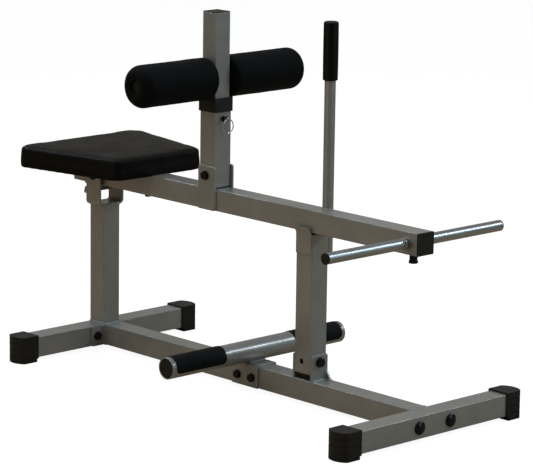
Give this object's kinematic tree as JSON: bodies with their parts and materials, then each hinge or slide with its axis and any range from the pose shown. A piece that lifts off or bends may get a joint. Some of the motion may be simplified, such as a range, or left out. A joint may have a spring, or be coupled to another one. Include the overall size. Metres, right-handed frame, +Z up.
{
  "type": "seated calf raise machine",
  "caption": "Plate-loaded seated calf raise machine with a sprung-pin thigh support, foam rollers, a foot bar, a hinged lever beam carrying the seat, and a hand-swung catch post.",
  "frame": {"origin": "on the floor, centred between the foot caps and midway between the front bolt heads and the seat's rear edge", "axes": "+Z up, +Y along the machine from the weight pegs to the seat, +X to the left of a person on the seat, who faces the pegs"},
  "size_m": [0.573, 1.2404, 0.878],
  "materials": {
    "frame_paint": "satin",
    "polished_steel": "gloss",
    "black_plastic": "matte",
    "black_bolts": "gloss",
    "black_rubber": "matte",
    "seat_vinyl": "satin",
    "seat_plywood": "matte",
    "roller_foam": "matte",
    "bush_brass": "satin"
  },
  "bodies": {
    "frame": {"main_rail": "frame_paint", "front_flange": "frame_paint", "rear_flange": "frame_paint", "front_crossbar": "frame_paint", "rear_crossbar": "frame_paint", "front_left_foot_cap": "black_plastic", "front_right_foot_cap": "black_plastic", "rear_left_foot_cap": "black_plastic", "rear_right_foot_cap": "black_plastic", "front_crossbar_bolts": "black_bolts", "rear_crossbar_bolts": "black_bolts", "seat_post": "frame_paint", "clevis": "frame_paint", "lever_pivot_bolt": "black_bolts", "lever_pivot_nut": "black_bolts", "catch_bracket_plates": "frame_paint", "catch_gusset": "frame_paint", "catch_pivot_bolt": "black_bolts", "catch_pivot_nut": "black_bolts", "foot_saddle": "frame_paint", "foot_saddle_bolts": "black_bolts", "foot_bar": "frame_paint", "foot_bar_plugs": "black_plastic", "foot_grip_left": "black_rubber", "foot_grip_right": "black_rubber"},
    "lever": {"lever_beam": "frame_paint", "beam_end_caps": "black_plastic", "pivot_tube": "frame_paint", "pivot_bushes": "bush_brass", "weight_peg_left": "polished_steel", "weight_peg_right": "polished_steel", "peg_caps": "black_plastic", "rubber_bumper": "black_rubber", "thigh_plate_left": "frame_paint", "thigh_plate_right": "frame_paint", "thigh_sleeve": "frame_paint", "sleeve_plug": "black_plastic", "sleeve_collar": "black_plastic", "thigh_plate_bolt": "black_bolts", "pin_barrel": "black_bolts", "pin_spring": "polished_steel", "seat_pad": "seat_vinyl", "seat_board": "seat_plywood", "seat_bolts": "black_bolts", "seat_tee_nuts": "polished_steel"},
    "catch": {"catch_post": "frame_paint", "catch_lip": "frame_paint", "catch_pivot_tube": "frame_paint", "catch_foot_plug": "black_plastic", "catch_rest_pad": "black_rubber", "catch_handle": "frame_paint", "handle_grip": "black_rubber"},
    "thigh_carriage": {"thigh_tube": "frame_paint", "thigh_tube_plug": "black_plastic", "roller_axle": "frame_paint", "axle_caps": "black_plastic"},
    "roller_left": {"foam_roller_left": "roller_foam"},
    "roller_right": {"foam_roller_right": "roller_foam"},
    "pull_pin": {"pull_pin": "polished_steel"},
    "pull_ring": {"pull_ring": "polished_steel"}
  },
  "joints": [
    {"name": "lever_lift", "type": "hinge", "parent": "frame", "child": "lever", "pos_m": [0, 0.50905, 0.4314], "axis": [-1, 0, 0], "range_deg": [0, 12]},
    {"name": "catch_swing", "type": "hinge", "parent": "frame", "child": "catch", "pos_m": [0, -0.21715, 0.103], "axis": [0, 1, 0], "range_deg": [0, 10]},
    {"name": "thigh_slide", "type": "slide", "parent": "lever", "child": "thigh_carriage", "axis": [0, 0, 1], "range_m": [0, 0.1016]},
    {"name": "roller_left_spin", "type": "hinge", "parent": "thigh_carriage", "child": "roller_left", "pos_m": [0.139, 0.11135, 0.715], "axis": [1, 0, 0], "continuous": true},
    {"name": "roller_right_spin", "type": "hinge", "parent": "thigh_carriage", "child": "roller_right", "pos_m": [-0.139, 0.11135, 0.715], "axis": [1, 0, 0], "continuous": true},
    {"name": "pin_pull", "type": "slide", "parent": "lever", "child": "pull_pin", "axis": [0, -1, 0], "range_m": [-0.004, 0]},
    {"name": "ring_swing", "type": "hinge", "parent": "pull_pin", "child": "pull_ring", "pos_m": [0, 0.06845, 0.621], "axis": [-1, 0, 0], "range_deg": [-10, 100]}
  ],
  "couplings": [
    {"joint": "catch_swing", "follows": "lever_lift", "ratio": 0.8}
  ]
}
